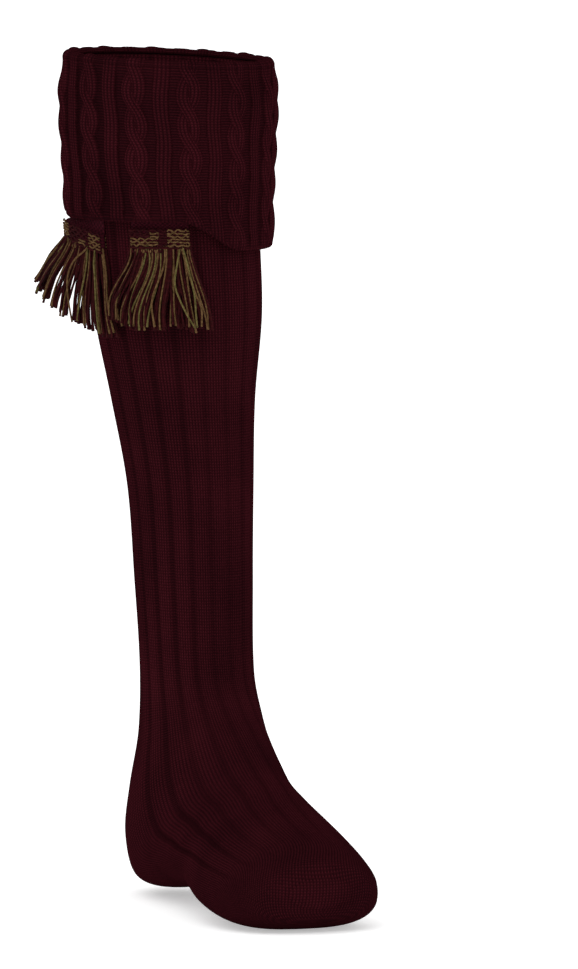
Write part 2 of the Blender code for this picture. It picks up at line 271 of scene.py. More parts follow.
def lay_leg(rows, out):
    """The leg's outer face, or its inner one, from the top edge to the tip of the toe."""
    tube_share = 1 - TOE_ROWS / rows

    def lay(around, along):
        turn = RIB_START - math.pi + 2 * math.pi * around
        station = LEG_TOP + (STATIONS[-1] - LEG_TOP) * np.minimum(along / tube_share, 1)
        swing = math.pi / 2 * np.clip((along - tube_share) / (1 - tube_share), 0, 1)
        ribs = ribs_across(station, turn)
        relief, purl = rib_relief(station, turn, ribs)
        points = toe_cap(skin(station, turn, out + relief * (1 if out == 0 else 0.5)), swing)
        onto_toe = ease((station - STATIONS[-1] + TOE_BLEND) / TOE_BLEND)
        stitches_across = ribs * STITCHES_PER_RIB
        straight_down = (LEAN + TOE_TIP[2] * FOOT_WIDTH - points[:, 0]) / TOE_WALE
        stitches_across = stitches_across + (straight_down - stitches_across) * onto_toe
        over_tip = (section_at(station)[:, 1] - points[:, 2]) * onto_toe
        seam = np.exp(-(((points[:, 2] - SOLE - TOE_SEAM_HEIGHT) / TOE_SEAM_WIDTH) ** 2))
        seam = seam * ease(4 * onto_toe - 3)
        points = points + TOE_SEAM_RELIEF * seam[:, None] * np.array([0, -1, -0.4])
        uvs = np.stack([stitches_across, -(station + over_tip) / COURSE], axis=-1)
        # Painted shade: the toe seam's line is also painted darker by lowering its relief.
        return points, uvs, relief - 0.0003 * seam, purl

    return lay


def make_leg():
    """The outer face with its ribs, and a plainer inner face a wall's thickness inside, joined at the rim."""
    bm = rolled_grid(LEG_COLUMNS, LEG_ROWS, lay_leg(LEG_ROWS, 0.0))
    inner = rolled_grid(LEG_COLUMNS, INNER_ROWS + TOE_ROWS, lay_leg(INNER_ROWS + TOE_ROWS, -KNIT_WALL))
    bmesh.ops.reverse_faces(inner, faces=inner.faces[:])
    lining = bpy.data.meshes.new("lining")
    inner.to_mesh(lining)
    inner.free()
    bm.from_mesh(lining)
    bpy.data.meshes.remove(lining)
    rims = [edge for edge in bm.edges if edge.is_boundary]
    bmesh.ops.bridge_loops(bm, edges=rims)
    return bm


def linear(hex_colour):
    """The linear colour of an sRGB hex value."""
    channels = [int(hex_colour[i : i + 2], 16) / 255 for i in (1, 3, 5)]
    return [c / 12.92 if c <= 0.04045 else ((c + 0.055) / 1.055) ** 2.4 for c in channels] + [1.0]


def add_node(tree, kind, settings, links=None):
    """Adds a node. A setting named by text is its property or input, one by number its input's place."""
    node = tree.nodes.new(kind)
    for key, value in settings.items():
        if isinstance(key, str) and hasattr(node, key):
            setattr(node, key, value)
        else:
            node.inputs[key].default_value = value
    for key, source in (links or {}).items():
        tree.links.new(source, node.inputs[key])
    return node


def new_material(name):
    """An empty material with a shader and an output, and its node tree."""
    material = bpy.data.materials.new(name)
    material.use_nodes = True
    return material, material.node_tree, material.node_tree.nodes["Principled BSDF"]


def stitch_height(tree, stitches, purl):
    """Knit stitches are Vs in upright wales with a line of painted shade between two wales, where the height
    darkens the knitting's colour. Purl stitches are bars that lie across, one under the next."""
    across = add_node(tree, "ShaderNodeSeparateXYZ", {}, {0: stitches})
    turn = add_node(tree, "ShaderNodeMath", {"operation": "FRACT"}, {0: across.outputs["X"]})
    off = add_node(tree, "ShaderNodeMath", {"operation": "SUBTRACT", 1: 0.5}, {0: turn.outputs[0]})
    side = add_node(tree, "ShaderNodeMath", {"operation": "ABSOLUTE"}, {0: off.outputs[0]})
    half_turn = add_node(tree, "ShaderNodeMath", {"operation": "MULTIPLY", 1: math.pi}, {0: side.outputs[0]})
    wale = add_node(tree, "ShaderNodeMath", {"operation": "COSINE"}, {0: half_turn.outputs[0]})
    bar = add_node(tree, "ShaderNodeMath", {"operation": "MULTIPLY_ADD", 1: 0.25, 2: 0.7}, {0: wale.outputs[0]})
    ridge = add_node(tree, "ShaderNodeMix", {}, {"Factor": purl, "A": wale.outputs[0], "B": bar.outputs[0]})
    slope = add_node(tree, "ShaderNodeMath", {"operation": "MULTIPLY_ADD", 1: -0.9, 2: 0.9}, {0: purl})
    slant = add_node(
        tree,
        "ShaderNodeMath",
        {"operation": "MULTIPLY_ADD"},
        {0: side.outputs[0], 1: slope.outputs[0], 2: across.outputs["Y"]},
    )
    course = add_node(tree, "ShaderNodeMath", {"operation": "MULTIPLY", 1: 2 * math.pi}, {0: slant.outputs[0]})
    wave = add_node(tree, "ShaderNodeMath", {"operation": "COSINE"}, {0: course.outputs[0]})
    depth = add_node(tree, "ShaderNodeMath", {"operation": "MULTIPLY_ADD", 1: 0.1, 2: 0.36}, {0: purl})
    rest = add_node(tree, "ShaderNodeMath", {"operation": "SUBTRACT", 0: 1.0}, {1: depth.outputs[0]})
    rows = add_node(
        tree, "ShaderNodeMath", {"operation": "MULTIPLY_ADD"}, {0: wave.outputs[0], 1: depth.outputs[0], 2: rest.outputs[0]}
    )
    return add_node(
        tree, "ShaderNodeMath", {"operation": "MULTIPLY"}, {0: ridge.outputs["Result"], 1: rows.outputs[0]}
    ).outputs[0]


def knit_material(name, dark, mid, light, deep):
    """Worsted merino knitting: matt, soft at the edges, and painted darker down in the stitches and the grooves as
    painted shade.
    """
    material, tree, shader = new_material(name)
    stitches = add_node(tree, "ShaderNodeUVMap", {"uv_map": "stitches"}).outputs["UV"]
    purl = add_node(tree, "ShaderNodeAttribute", {"attribute_name": "purl"}).outputs["Fac"]
    height = stitch_height(tree, stitches, purl)
    place = add_node(tree, "ShaderNodeTexCoord", {}).outputs["Object"]
    heather = add_node(
        tree, "ShaderNodeTexNoise", {"Scale": 900.0, "Detail": 3.0, "Roughness": 0.7}, {"Vector": place}
    )
    patches = add_node(
        tree, "ShaderNodeTexNoise", {"Scale": 26.0, "Detail": 2.0, "Roughness": 0.5}, {"Vector": place}
    )
    # Painted shade: the relief attribute darkens the colour down in the ribs' and cables' grooves, most where the
    # relief is lowest.
    relief = add_node(tree, "ShaderNodeAttribute", {"attribute_name": "relief"})
    depth = add_node(
        tree,
        "ShaderNodeMapRange",
        {"From Min": -0.0030, "From Max": deep, "To Min": 0.0, "To Max": 1.0},
        {"Value": relief.outputs["Fac"]},
    )
    worn = add_node(
        tree, "ShaderNodeMath", {"operation": "MULTIPLY_ADD", 1: 0.45, 2: -0.32}, {0: patches.outputs["Fac"]}
    )
    speckle = add_node(
        tree, "ShaderNodeMath", {"operation": "MULTIPLY_ADD", 1: 0.45}, {0: heather.outputs["Fac"], 2: worn.outputs[0]}
    )
    # Painted shade: the stitch height darkens the colour in each stitch's dips, mixed with the heather's and patches'
    # random tone.
    yarn = add_node(tree, "ShaderNodeMath", {"operation": "MULTIPLY_ADD", 1: 0.6}, {0: height, 2: speckle.outputs[0]})
    shade = add_node(tree, "ShaderNodeMath", {"operation": "MULTIPLY"}, {0: yarn.outputs[0], 1: depth.outputs[0]})
    ramp = add_node(tree, "ShaderNodeValToRGB", {}, {"Fac": shade.outputs[0]})
    ramp.color_ramp.elements[0].position = 0.10
    ramp.color_ramp.elements[0].color = linear(dark)
    ramp.color_ramp.elements[1].position = 0.90
    ramp.color_ramp.elements[1].color = linear(light)
    ramp.color_ramp.elements.new(0.5).color = linear(mid)
    tree.links.new(ramp.outputs["Color"], shader.inputs["Base Color"])
    fuzz = add_node(
        tree, "ShaderNodeTexNoise", {"Scale": 2600.0, "Detail": 2.0, "Roughness": 0.6}, {"Vector": place}
    )
    rough = add_node(
        tree, "ShaderNodeMath", {"operation": "MULTIPLY_ADD", 1: 0.25}, {0: fuzz.outputs["Fac"], 2: height}
    )
    bump = add_node(tree, "ShaderNodeBump", {"Strength": 0.8, "Distance": 0.0005}, {"Height": rough.outputs[0]})
    tree.links.new(bump.outputs["Normal"], shader.inputs["Normal"])
    shader.inputs["Roughness"].default_value = 1.0
    shader.inputs["Specular IOR Level"].default_value = 0.0
    shader.inputs["Sheen Weight"].default_value = 0.004
    shader.inputs["Sheen Roughness"].default_value = 0.4
    shader.inputs["Sheen Tint"].default_value = linear("#c04058")
    return material


rib_knit = knit_material("burgundy_merino_rib_knit", "#180609", "#300d12", "#46171f", 0.0004)
leg = new_mesh_object("leg_and_foot_knit", make_leg(), [rib_knit])
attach(leg, "root")
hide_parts("leg_and_foot")


# Turned-over cuff
# The last stretch of the same tube, knitted with twelve rope cables between panels of narrow ribs and
# turned down over the top edge in a soft rolled fold. It hangs loose over the garter, and its hem dips
# from the shin round the inner side of the leg.
CUFF_DIP = 0.0155
DIP_START = math.radians(20)
DIP_RISE = math.radians(44)
DIP_REACH = math.radians(210)
DIP_FALL = math.radians(70)
CUFF_FLARE = 0.0030
LOOSE_TURN = math.radians(125)
BAND_WALL = 0.0016

CABLE_COUNT = 12
CABLE_START = math.radians(6)
CABLE_CENTRE = 1 / 6
CABLE_SHARE = 0.43
REPEAT_WIDTH = 0.0290
CABLE_HEIGHT = 0.0023
CABLE_PITCH = 0.0186
FIRST_CROSSING = 0.0070
CABLE_STEP = -0.00115
STRAND_SWING = 0.0029
STRAND_HALF_WIDTH = 0.0037
PANEL_RIB_SHARE = 0.30
PANEL_WALES = 4
PANEL_RIB_HEIGHT = 0.0012
GUTTER_DEPTH = 0.0004
SLACK_GUTTER = 0.0010
CABLE_STRAY = math.radians(0.7)
STRAY_LENGTH = 0.041
WALE = 0.0020

CUFF_COLUMNS = 528
CUFF_OUTER_ROWS = 120
CUFF_FOLD_ROWS = 14
CUFF_SEAT_ROWS = 2
CUFF_INNER_ROWS = 14
HEM_ROWS = 6


def hem_station(turn):
    """The cuff's lower edge."""
    inward = (DIP_START - turn) % (2 * math.pi)
    dip = np.minimum(ease(inward / DIP_RISE), ease((DIP_REACH - inward) / DIP_FALL))
    return CUFF_DEPTH + CUFF_DIP * dip


def cuff_stand_off(share, turn):
    """The clear space between leg and cuff, from the fold at 0 to the hem at 1, with room for the garter."""
    garter_room = BAND_WALL + 2 * GAP
    loose_side = 0.5 - 0.5 * np.cos(turn - LOOSE_TURN - math.pi)
    return GAP + garter_room * ease(share / 0.25) + CUFF_FLARE * share * loose_side


def cable_relief(station, turn):
    """Two strands that twist round each other, and between cables a narrow rib of four wales between two
    valleys. The cloth is stretched flatter front and back, and the valleys are deeper at the sides. Gives
    the relief, the wale that each point lies in, and 1 in the purl valleys."""
    strayed = turn + CABLE_STRAY * np.sin(2 * math.pi * station / STRAY_LENGTH + 3 * turn)
    repeat = (strayed - CABLE_START) / (2 * math.pi) * CABLE_COUNT
    number = np.round(repeat - CABLE_CENTRE)
    across = repeat - CABLE_CENTRE - number
    beside = -across * REPEAT_WIDTH
    phase = math.pi * (station - FIRST_CROSSING - CABLE_STEP * (number % CABLE_COUNT)) / CABLE_PITCH
    height = np.full_like(beside, -GUTTER_DEPTH)
    wale = beside / WALE
    for strand in (0, 1):
        turned = phase + strand * math.pi
        swing = np.sin(turned)
        middle = STRAND_SWING * swing * (1.2 - 0.2 * swing**2)
        dome = np.sqrt(np.clip(1 - ((beside - middle) / STRAND_HALF_WIDTH) ** 2, 0, 1))
        raised = CABLE_HEIGHT * (dome * (0.80 + 0.38 * np.cos(turned)) - 0.14)
        on_top = raised > height
        height = np.where(on_top, raised, height)
        wale = np.where(on_top, (beside - middle) / WALE, wale)
    from_rib = (0.5 - np.abs(across)) / (PANEL_RIB_SHARE / 2)
    rib_dome = np.sqrt(np.clip(1 - from_rib**4, 0, 1))
    rib_wale = (0.5 - np.abs(across)) * np.sign(across) / PANEL_RIB_SHARE * PANEL_WALES
    wale_dip = 0.22 * (0.5 - 0.5 * np.cos(2 * math.pi * rib_wale + math.pi * (PANEL_WALES % 2)))
    rib = PANEL_RIB_HEIGHT * rib_dome * (0.78 + wale_dip) - GUTTER_DEPTH
    on_rib = from_rib < 1
    height = np.where(on_rib, np.maximum(rib, height), height)
    purl = 1 - ease((height + GUTTER_DEPTH) / (PANEL_RIB_HEIGHT / 2))
    slack = np.sin(turn) ** 2
    height = height * (0.82 + 0.24 * slack) - SLACK_GUTTER * slack * purl
    return height, np.where(on_rib, rib_wale, wale), purl


def lay_cuff(around, along):
    """Up the outer face from the hem, over the fold, down the inner face and round the hem's edge."""
    turn = CABLE_START + 2 * math.pi * around
    counts = (CUFF_OUTER_ROWS, CUFF_FOLD_ROWS, CUFF_SEAT_ROWS, CUFF_INNER_ROWS, HEM_ROWS)
    row = along * sum(counts)
    starts = np.cumsum((0,) + counts)
    shares = [np.clip((row - start) / count, 0, 1) for start, count in zip(starts, counts)]
    outer, fold, seat, inner, hem = shares
    on_outer = row <= starts[1]
    on_fold = (row > starts[1]) & (row <= starts[2])
    on_seat = (row > starts[2]) & (row <= starts[3])
    on_inner = (row > starts[3]) & (row <= starts[4])
    hem_depth = hem_station(turn)
    down = np.where(on_outer, 1 - outer, np.where(on_inner | (row > starts[4]), inner, 0))
    station = FOLD_RADIUS + (hem_depth - FOLD_RADIUS) * down
    relief, wale, purl = cable_relief(station, turn)
    swing = math.pi * fold
    hem_swing = math.pi * hem
    over_fold = 0.55 + 0.45 * ease(down / 0.10)
    edge = ease((hem_depth - station) / 0.003) * 0.6 + 0.4
    relief = relief * np.where(on_outer, over_fold * edge, np.where(on_fold, 0.55 * np.cos(swing / 2) ** 2, 0))
    outer_out = cuff_stand_off(down, turn) + CUFF_WALL + relief
    fold_out = GAP + CUFF_WALL - FOLD_RADIUS * (1 - np.cos(swing)) + relief * np.cos(swing)
    seat_out = -KNIT_WALL + (KNIT_WALL + GAP) * seat
    inner_out = cuff_stand_off(inner, turn)
    hem_relief = 0.4 * cable_relief(hem_depth, turn)[0]
    hem_wall = CUFF_WALL + hem_relief
    hem_out = cuff_stand_off(np.ones_like(turn), turn) + hem_wall * (0.5 - 0.5 * np.cos(hem_swing))
    out = np.where(
        on_outer, outer_out, np.where(on_fold, fold_out, np.where(on_seat, seat_out, np.where(on_inner, inner_out, hem_out)))
    )
    past_fold = FOLD_RADIUS * (1 - np.sin(swing)) - relief * np.sin(swing)
    past_hem = hem_depth + CUFF_WALL * 0.45 * np.sin(hem_swing)
    station = np.where(on_fold, past_fold, np.where(row > starts[4], past_hem, station))
    yarn_run = np.where(on_fold, -FOLD_RADIUS * swing, np.where(row > starts[4], hem_depth + 0.001 * hem_swing, station))
    uvs = np.stack([wale, -yarn_run / COURSE], axis=-1)
    return skin(station, turn, out), uvs, relief, purl


cable_knit = knit_material("burgundy_merino_cable_knit", "#180609", "#300d12", "#46171f", 0.0010)
cuff_rows = CUFF_OUTER_ROWS + CUFF_FOLD_ROWS + CUFF_SEAT_ROWS + CUFF_INNER_ROWS + HEM_ROWS
cuff = new_mesh_object("turnover_cuff_knit", rolled_grid(CUFF_COLUMNS, cuff_rows, lay_cuff), [cable_knit])
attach(cuff, "root")
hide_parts("turnover_cuff")


# Garter band
# A plain woven garter round the leg under the cuff, which carries the two tassels' tails. Its fastening
# is hidden, so it is a closed loop with soft rounded edges.
BAND_WIDTH = 0.022
BAND_ABOVE_HEM = 0.016
BAND_COLUMNS = 180
BAND_FACE_ROWS = 14
BAND_EDGE_ROWS = 4
WARP_PITCH = 0.0012
WEFT_PITCH = 0.0009


def lay_band(around, along):
    """Down the outer face, round the lower edge, up the inner face and round the upper edge."""
    turn = 2 * math.pi * around
    counts = (BAND_FACE_ROWS, BAND_EDGE_ROWS, BAND_FACE_ROWS, BAND_EDGE_ROWS)
    row = along * sum(counts)
    starts = np.cumsum((0,) + counts)
    outer, lower, inner, upper = [
        np.clip((row - start) / count, 0, 1) for start, count in zip(starts, counts)
    ]
    radius = BAND_WALL / 2
    face = outer - inner
    swing = math.pi * (lower + upper)
    middle = CUFF_DEPTH - BAND_ABOVE_HEM - BAND_WIDTH / 2
    half = BAND_WIDTH / 2 - radius
    bulge = radius * (np.sin(math.pi * lower) - np.sin(math.pi * upper))
    station = middle + half * (2 * face - 1) + bulge
    out = GAP + radius + radius * np.cos(swing)
    uvs = np.stack([around * 0.30 / WARP_PITCH, row / sum(counts) * 2 * BAND_WIDTH / WEFT_PITCH], axis=-1)
    return skin(station, turn, out), uvs, np.zeros_like(row), np.zeros_like(row)


def woven_material(name, dark, light):
    """Worsted plain weave: warp and weft in turn over and under each other, matt with a soft edge, and painted darker
    where a thread dips under as painted shade.
    """
    material, tree, shader = new_material(name)
    weave = add_node(tree, "ShaderNodeUVMap", {"uv_map": "stitches"}).outputs["UV"]
    scaled = add_node(tree, "ShaderNodeVectorMath", {"operation": "SCALE", "Scale": math.pi}, {0: weave})
    axes = add_node(tree, "ShaderNodeSeparateXYZ", {}, {0: scaled.outputs["Vector"]})
    warp = add_node(tree, "ShaderNodeMath", {"operation": "SINE"}, {0: axes.outputs["X"]})
    weft = add_node(tree, "ShaderNodeMath", {"operation": "SINE"}, {0: axes.outputs["Y"]})
    over = add_node(tree, "ShaderNodeMath", {"operation": "MULTIPLY"}, {0: warp.outputs[0], 1: weft.outputs[0]})
    height = add_node(tree, "ShaderNodeMath", {"operation": "MULTIPLY_ADD", 1: 0.5, 2: 0.5}, {0: over.outputs[0]})
    place = add_node(tree, "ShaderNodeTexCoord", {}).outputs["Object"]
    fibre = add_node(tree, "ShaderNodeTexNoise", {"Scale": 1200.0, "Detail": 3.0}, {"Vector": place})
    # Painted shade: the weave's height darkens the colour where threads dip under, mixed with the fibres' random tone.
    mixed = add_node(
        tree, "ShaderNodeMath", {"operation": "MULTIPLY_ADD", 1: 0.5}, {0: fibre.outputs["Fac"], 2: height.outputs[0]}
    )
    ramp = add_node(tree, "ShaderNodeValToRGB", {}, {"Fac": mixed.outputs[0]})
    ramp.color_ramp.elements[0].position = 0.2
    ramp.color_ramp.elements[0].color = linear(dark)
    ramp.color_ramp.elements[1].position = 1.0
    ramp.color_ramp.elements[1].color = linear(light)
    tree.links.new(ramp.outputs["Color"], shader.inputs["Base Color"])
    bump = add_node(tree, "ShaderNodeBump", {"Strength": 0.8, "Distance": 0.0005}, {"Height": mixed.outputs[0]})
    tree.links.new(bump.outputs["Normal"], shader.inputs["Normal"])
    shader.inputs["Roughness"].default_value = 0.95
    shader.inputs["Specular IOR Level"].default_value = 0.03
    return material


garter_weave = woven_material("burgundy_worsted_plain_weave", "#1c060a", "#3a0f18")
band_rows = 2 * BAND_FACE_ROWS + 2 * BAND_EDGE_ROWS
band = new_mesh_object("garter_band_weave", rolled_grid(BAND_COLUMNS, band_rows, lay_band), [garter_weave])
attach(band, "root")
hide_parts("garter_band")


# Garter tassels
# Each end of the garter is a flat tail that ends in a thicker woven header, with olive weft yarns over
# the burgundy ones, and a fringe of loose plied yarns in burgundy and olive that leaves its lower edge.
# One hangs in front of the leg's outer side, the other at that side, where it stands off the leg.
TAIL_WIDTH = 0.031
HEADER_HEIGHT = 0.010
HEADER_WALL = 0.0038
FRINGE_LENGTH = 0.043
LOCK_WIDTH = 0.0046
LOCK_THICKNESS = 0.0032
YARN_RADIUS = 0.00060
YARN_POINTS = 12
YARNS_PER_LOCK = 13
OLIVE_PER_LOCK = 2

FRONT_LOCKS = [
    # root, back, drop, out
    (-0.45, -0.17, 0.98, 0.06),
    (-0.34, -0.07, 1.00, 0.10),
    (-0.22, 0.04, 0.97, 0.08),
    (-0.10, 0.13, 1.00, 0.11),
    (0.02, 0.20, 0.98, 0.08),
    (0.13, 0.25, 0.99, 0.11),
    (0.24, 0.29, 0.95, 0.08),
    (0.35, 0.31, 0.94, 0.10),
    (0.45, 0.33, 0.90, 0.06),
]
SIDE_LOCKS = [
    # root, back, drop, out
    (-0.45, -0.03, 1.00, 0.03),
    (-0.34, 0.00, 1.02, 0.06),
    (-0.22, 0.04, 0.99, 0.11),
    (-0.10, 0.10, 0.95, 0.15),
    (0.02, 0.15, 0.91, 0.20),
    (0.13, 0.21, 0.86, 0.27),
    (0.24, 0.27, 0.80, 0.35),
    (0.35, 0.33, 0.74, 0.43),
    (0.45, 0.38, 0.67, 0.50),
]
FRONT_WEFTS = [
    # from, to, first row, last row
    (-0.49, -0.13, 0, 5),
    (0.00, 0.15, 1, 2),
    (0.02, 0.48, 3, 5),
]
SIDE_WEFTS = [
    (0.22, 0.49, 0, 4),
    (-0.16, -0.02, 4, 5),
    (-0.49, -0.24, 1, 5),
]
FRONT_LOOPS = [
    # colour, then side, drop and out along the yarn, as shares of the tail's width and the fringe's length
    ("moss", [(-0.33, 0.00, 0.00), (-0.26, 0.20, 0.05), (-0.21, 0.45, 0.09), (-0.33, 0.74, 0.11), (-0.47, 0.95, 0.12)]),
    ("olive", [(-0.35, 0.00, 0.00), (-0.42, 0.26, 0.05), (-0.50, 0.52, 0.10), (-0.58, 0.72, 0.11), (-0.57, 0.93, 0.11)]),
    ("moss", [(-0.37, 0.00, 0.01), (-0.44, 0.28, 0.06), (-0.49, 0.55, 0.11), (-0.49, 0.78, 0.12), (-0.50, 0.94, 0.12)]),
]
SIDE_LOOPS = [
    ("moss", [(-0.36, 0.00, 0.02), (-0.42, 0.30, 0.06), (-0.42, 0.60, 0.08), (-0.40, 0.98, 0.09)]),
    ("olive", [(-0.20, 0.00, 0.02), (0.02, 0.24, 0.08), (0.10, 0.50, 0.12), (0.06, 0.94, 0.14)]),
]
Tassel = namedtuple("Tassel", "name node turn lean below_hem lift locks wefts loops seed")
TASSELS = [
    Tassel(
        "front_tassel", "tassel_front", math.radians(32), 0.0, 0.0045, 0.0, FRONT_LOCKS, FRONT_WEFTS, FRONT_LOOPS, 7
    ),
    Tassel(
        "side_tassel", "tassel_side", math.radians(93), 0.22, 0.0050, 0.0065, SIDE_LOCKS, SIDE_WEFTS, SIDE_LOOPS, 11
    ),
]


def on_tassel(tassel, back, down, out, lean=1.0):
    """Points of a tassel: back round the leg from its middle, down from its header's top, and out."""
    top = hem_station(tassel.turn) + tassel.below_hem
    front_y, _, back_y, _, half_width = section_at(np.array(top))[:5]
    girth = (half_width + (back_y - front_y) / 2) / 2
    lifted = tassel.lift * lean * ease(0.5 + back / TAIL_WIDTH)
    angle = tassel.lean * lean
    turn = tassel.turn + back * np.cos(angle) / girth
    return skin(top + down - back * np.sin(angle), turn, GAP + out + lifted)


def yarn_material(name, dark, light):
    """Plied worsted yarn: two plies that wind round each other show as slanting ridges, in the bump and in the colour
    as painted highlight on each ply and painted shade between them.
    """
    material, tree, shader = new_material(name)
    along = add_node(tree, "ShaderNodeUVMap", {"uv_map": "UVMap"}).outputs["UV"]
    axes = add_node(tree, "ShaderNodeSeparateXYZ", {}, {0: along})
    wind = add_node(tree, "ShaderNodeMath", {"operation": "MULTIPLY", 1: 22.0}, {0: axes.outputs["Y"]})
    both = add_node(
        tree, "ShaderNodeMath", {"operation": "MULTIPLY_ADD", 1: 2.0}, {0: axes.outputs["X"], 2: wind.outputs[0]}
    )
    round_ply = add_node(tree, "ShaderNodeMath", {"operation": "MULTIPLY", 1: 2 * math.pi}, {0: both.outputs[0]})
    ply = add_node(tree, "ShaderNodeMath", {"operation": "SINE"}, {0: round_ply.outputs[0]})
    place = add_node(tree, "ShaderNodeTexCoord", {}).outputs["Object"]
    fibre = add_node(tree, "ShaderNodeTexNoise", {"Scale": 700.0, "Detail": 3.0}, {"Vector": place})
    # Painted highlight and shade: the ply ridges lighten the colour and the hollows between them darken it, mixed with
    # the fibres' random tone.
    mixed = add_node(
        tree, "ShaderNodeMath", {"operation": "MULTIPLY_ADD", 1: 0.22}, {0: ply.outputs[0], 2: fibre.outputs["Fac"]}
    )
    ramp = add_node(tree, "ShaderNodeValToRGB", {}, {"Fac": mixed.outputs[0]})
    ramp.color_ramp.elements[0].position = 0.25
    ramp.color_ramp.elements[0].color = linear(dark)
    ramp.color_ramp.elements[1].position = 0.75
    ramp.color_ramp.elements[1].color = linear(light)
    tree.links.new(ramp.outputs["Color"], shader.inputs["Base Color"])
    bump = add_node(tree, "ShaderNodeBump", {"Strength": 0.7, "Distance": 0.0004}, {"Height": mixed.outputs[0]})
    tree.links.new(bump.outputs["Normal"], shader.inputs["Normal"])
    shader.inputs["Roughness"].default_value = 0.9
    shader.inputs["Specular IOR Level"].default_value = 0.05
    return material


burgundy_yarn = yarn_material("burgundy_plied_worsted_yarn", "#1b0709", "#431316")
olive_yarn = yarn_material("olive_plied_worsted_yarn", "#38260f", "#806141")
moss_yarn = yarn_material("moss_green_plied_worsted_yarn", "#3a3314", "#7d7044")
YARNS = [burgundy_yarn, olive_yarn, moss_yarn]
COLOURS = {"burgundy": 0, "olive": 1, "moss": 2}


def make_yarns(name, strands):
    """Loose yarns as one mesh: each strand is its points, its radii and its colour."""
    curve = bpy.data.curves.new(name, "CURVE")
    curve.dimensions = "3D"
    curve.bevel_depth = YARN_RADIUS
    curve.bevel_resolution = 1
    curve.use_fill_caps = True
    for material in YARNS:
        curve.materials.append(material)
    for points, radii, colour in strands:
        spline = curve.splines.new("POLY")
        spline.points.add(len(points) - 1)
        spline.points.foreach_set("co", np.column_stack([points, np.ones(len(points))]).ravel())
        spline.points.foreach_set("radius", radii)
        spline.use_smooth = True
        spline.material_index = colour
    route = bpy.data.objects.new(name + "_route", curve)
    bpy.context.scene.collection.objects.link(route)
    graph = bpy.context.evaluated_depsgraph_get()
    mesh = bpy.data.meshes.new_from_object(route.evaluated_get(graph))
    bpy.data.objects.remove(route)
    bpy.data.curves.remove(curve)
    bm = bmesh.new()
    bm.from_mesh(mesh)
    bmesh.ops.remove_doubles(bm, verts=bm.verts[:], dist=1e-7)
    bmesh.ops.recalc_face_normals(bm, faces=bm.faces[:])
    bm.to_mesh(mesh)
    bm.free()
    mesh.name = name
    piece = bpy.data.objects.new(name, mesh)
    bpy.context.scene.collection.objects.link(piece)
    return piece


def smooth_route(shares, count):
    """A smooth curve through a few points, at even steps."""
    knots = np.array(shares)
    at = np.linspace(0, len(knots) - 1, count)
    index = np.clip(at.astype(int), 0, len(knots) - 2)
    share = (at - index)[:, None]
    slopes = np.gradient(knots, axis=0)
    square, cube = share**2, share**3
    return (
        (2 * cube - 3 * square + 1) * knots[index]
        + (cube - 2 * square + share) * slopes[index]
        + (3 * square - 2 * cube) * knots[index + 1]
        + (cube - square) * slopes[index + 1]
    )


def fringe_strands(tassel):
    """The yarns of each lock, spread through its thickness. Each leaves the header straight down, swings
    over in an S and ends in a bloomed cut. Olive ones lie on top."""
    rng = np.random.default_rng(tassel.seed)
    share = np.linspace(0, 1, YARN_POINTS)
    strands = []
    for root, back, drop, out in tassel.locks:
        for index in range(YARNS_PER_LOCK):
            across, deep = rng.uniform(-0.5, 0.5, 2)
            olive = index < OLIVE_PER_LOCK
            deep = 0.35 + 0.3 * abs(deep) if olive else deep
            fan = across * LOCK_WIDTH * (0.9 + 0.6 * share)
            bend = ease((share - rng.uniform(0.0, 0.15)) / rng.uniform(0.75, 0.95))
            curl = rng.uniform(-0.0014, 0.0014) * np.sin(math.pi * share * rng.uniform(0.9, 2.2))
            side = root * TAIL_WIDTH + fan + back * FRINGE_LENGTH * bend + curl + rng.uniform(-0.001, 0.001) * share**2
            fall = drop * rng.uniform(0.92, 1.01) * FRINGE_LENGTH
            stand = HEADER_WALL / 2 + deep * LOCK_THICKNESS * (0.8 + 0.3 * share) + out * FRINGE_LENGTH * share
            points = on_tassel(tassel, side, HEADER_HEIGHT - 0.002 + (fall + 0.002) * share, stand)
            radii = (0.8 if olive else 1.0) * rng.uniform(0.9, 1.1) * (1 + 0.35 * ease((share - 0.9) / 0.1))
            colour = "burgundy"
            if olive:
                colour = "moss" if rng.random() < 0.12 else "olive"
            strands.append((points, radii, COLOURS[colour]))
    for colour, shares in tassel.loops:
        side, drop, out = smooth_route(shares, 2 * YARN_POINTS).T
        stand = HEADER_WALL - 0.0004 + 0.0012 * ease(drop * 6) + out * FRINGE_LENGTH
        points = on_tassel(tassel, side * TAIL_WIDTH, HEADER_HEIGHT + drop * FRINGE_LENGTH, stand)
        strands.append((points, np.full(len(points), 0.85), COLOURS[colour]))
    return strands


HEAD_COLUMNS = 64
HEAD_ROWS = 44
HEADER_SHOULDER = 0.0006


def lay_head(tassel):
    """The flat tail from under the band down to the thicker header: round its section, and down."""
    hem = -tassel.below_hem

    def lay(around, along):
        top = hem - BAND_ABOVE_HEM + GAP
        down = top + (HEADER_HEIGHT - top) * along
        lean = 0.9 * ease((down - hem + GAP) / (-hem)) + 0.1 * ease(down / HEADER_SHOULDER)
        wall = BAND_WALL + (HEADER_WALL - BAND_WALL) * ease(down / (3 * HEADER_SHOULDER))
        swing = 2 * math.pi * around
        side = np.sign(np.cos(swing)) * np.abs(np.cos(swing)) ** 0.35
        face = np.sign(np.sin(swing)) * np.abs(np.sin(swing)) ** 0.5
        rounding = 1 - 0.3 * ease((down - HEADER_HEIGHT + 0.0015) / 0.0015)
        points = on_tassel(
            tassel, side * TAIL_WIDTH / 2, down, wall / 2 + face * wall / 2 * rounding, lean
        )
        uvs = np.stack([side * TAIL_WIDTH / 2 / WARP_PITCH, down / WEFT_PITCH], axis=-1)
        return points, uvs, np.zeros_like(down), np.zeros_like(down)

    return lay


WEFT_ROWS = 6
WEFT_WAVE = 0.00045
WARP_YARN_PITCH = 0.0042


